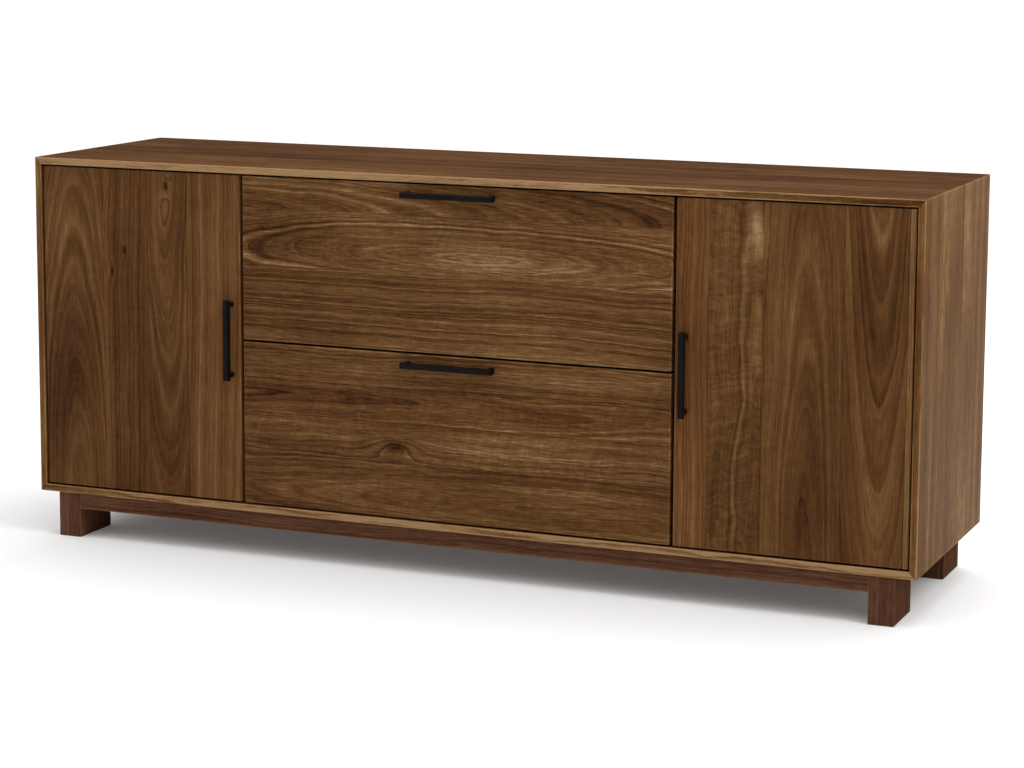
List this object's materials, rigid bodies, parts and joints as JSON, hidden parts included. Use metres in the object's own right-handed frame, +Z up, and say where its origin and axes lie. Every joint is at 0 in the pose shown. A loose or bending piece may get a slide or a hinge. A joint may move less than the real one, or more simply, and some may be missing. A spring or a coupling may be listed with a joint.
{
  "type": "office credenza",
  "caption": "Low walnut office storage cabinet with hinged end doors, wide file drawers between them on ball-bearing slides, slim bar pulls and a slab-legged base.",
  "frame": {"origin": "On the floor, at the middle of the bounding box, pulls included", "axes": "+X to the viewer's right along the width, -Y to the front, +Z up"},
  "size_m": [1.6764, 0.4788, 0.711],
  "materials": {
    "walnut": "solid walnut boards, satin oil",
    "front_walnut": "solid walnut boards with mixed figure, satin oil",
    "base_walnut": "darker walnut, satin",
    "plywood": "walnut-veneered plywood, matt",
    "maple": "maple, clear lacquer",
    "black_metal": "satin black",
    "bare_steel": "nickel-plated, fine brushed",
    "zinc_steel": "bright zinc",
    "nylon": "black nylon",
    "aluminium_bar": "satin anodised"
  },
  "bodies": {
    "case": {"top_panel": "walnut", "bottom_panel": "walnut", "right_side_panel": "walnut", "left_side_panel": "walnut", "right_partition": "walnut", "left_partition": "walnut", "back_panel": "plywood", "corner_splines": "plywood", "right_shelf": "walnut", "left_shelf": "walnut", "shelf_pins": "bare_steel", "case_pivots": "black_metal", "pivot_washers": "nylon", "catch_magnets": "bare_steel", "upper_slide_case_members": "zinc_steel", "lower_slide_case_members": "zinc_steel", "front_rail": "base_walnut", "back_rail": "base_walnut", "right_cross_rail": "base_walnut", "left_cross_rail": "base_walnut", "right_front_leg": "base_walnut", "left_front_leg": "base_walnut", "right_back_leg": "base_walnut", "left_back_leg": "base_walnut"},
    "upper_drawer": {"upper_drawer_front": "front_walnut", "upper_drawer_box_front": "maple", "upper_drawer_box_back": "maple", "upper_drawer_right_side": "maple", "upper_drawer_left_side": "maple", "upper_drawer_floor": "plywood", "upper_file_bars": "aluminium_bar", "upper_drawer_pull": "black_metal", "upper_pull_screws": "bare_steel", "upper_slide_drawer_members": "zinc_steel"},
    "upper_slide_middle": {"upper_slide_middle_members": "zinc_steel"},
    "upper_outer_cages": {"upper_outer_ball_cages": "zinc_steel"},
    "upper_inner_cages": {"upper_inner_ball_cages": "zinc_steel"},
    "lower_drawer": {"lower_drawer_front": "front_walnut", "lower_drawer_box_front": "maple", "lower_drawer_box_back": "maple", "lower_drawer_right_side": "maple", "lower_drawer_left_side": "maple", "lower_drawer_floor": "plywood", "lower_file_bars": "aluminium_bar", "lower_drawer_pull": "black_metal", "lower_pull_screws": "bare_steel", "lower_slide_drawer_members": "zinc_steel"},
    "lower_slide_middle": {"lower_slide_middle_members": "zinc_steel"},
    "lower_outer_cages": {"lower_outer_ball_cages": "zinc_steel"},
    "lower_inner_cages": {"lower_inner_ball_cages": "zinc_steel"},
    "left_door": {"left_door": "front_walnut", "left_door_plates": "black_metal", "left_catch_strike": "bare_steel", "left_door_pull": "black_metal", "left_door_pull_screws": "bare_steel"},
    "right_door": {"right_door": "front_walnut", "right_door_plates": "black_metal", "right_catch_strike": "bare_steel", "right_door_pull": "black_metal", "right_door_pull_screws": "bare_steel"}
  },
  "joints": [
    {"name": "upper_drawer_slide", "type": "slide", "parent": "case", "child": "upper_drawer", "axis": [0, -1, 0], "range_m": [0, 0.394]},
    {"name": "upper_slide_middle_slide", "type": "slide", "parent": "case", "child": "upper_slide_middle", "axis": [0, -1, 0], "range_m": [0, 0.197]},
    {"name": "upper_outer_cages_slide", "type": "slide", "parent": "case", "child": "upper_outer_cages", "axis": [0, -1, 0], "range_m": [0, 0.0985]},
    {"name": "upper_inner_cages_slide", "type": "slide", "parent": "case", "child": "upper_inner_cages", "axis": [0, -1, 0], "range_m": [0, 0.2955]},
    {"name": "lower_drawer_slide", "type": "slide", "parent": "case", "child": "lower_drawer", "axis": [0, -1, 0], "range_m": [0, 0.394]},
    {"name": "lower_slide_middle_slide", "type": "slide", "parent": "case", "child": "lower_slide_middle", "axis": [0, -1, 0], "range_m": [0, 0.197]},
    {"name": "lower_outer_cages_slide", "type": "slide", "parent": "case", "child": "lower_outer_cages", "axis": [0, -1, 0], "range_m": [0, 0.0985]},
    {"name": "lower_inner_cages_slide", "type": "slide", "parent": "case", "child": "lower_inner_cages", "axis": [0, -1, 0], "range_m": [0, 0.2955]},
    {"name": "left_door_hinge", "type": "hinge", "parent": "case", "child": "left_door", "pos_m": [-0.8043, -0.20485, 0.0999], "axis": [0, 0, -1], "range_deg": [0, 110]},
    {"name": "right_door_hinge", "type": "hinge", "parent": "case", "child": "right_door", "pos_m": [0.8043, -0.20485, 0.0999], "axis": [0, 0, 1], "range_deg": [0, 110]}
  ],
  "couplings": [
    {"joint": "upper_slide_middle_slide", "follows": "upper_drawer_slide", "ratio": 0.5},
    {"joint": "upper_outer_cages_slide", "follows": "upper_drawer_slide", "ratio": 0.25},
    {"joint": "upper_inner_cages_slide", "follows": "upper_drawer_slide", "ratio": 0.75},
    {"joint": "lower_slide_middle_slide", "follows": "lower_drawer_slide", "ratio": 0.5},
    {"joint": "lower_outer_cages_slide", "follows": "lower_drawer_slide", "ratio": 0.25},
    {"joint": "lower_inner_cages_slide", "follows": "lower_drawer_slide", "ratio": 0.75}
  ]
}
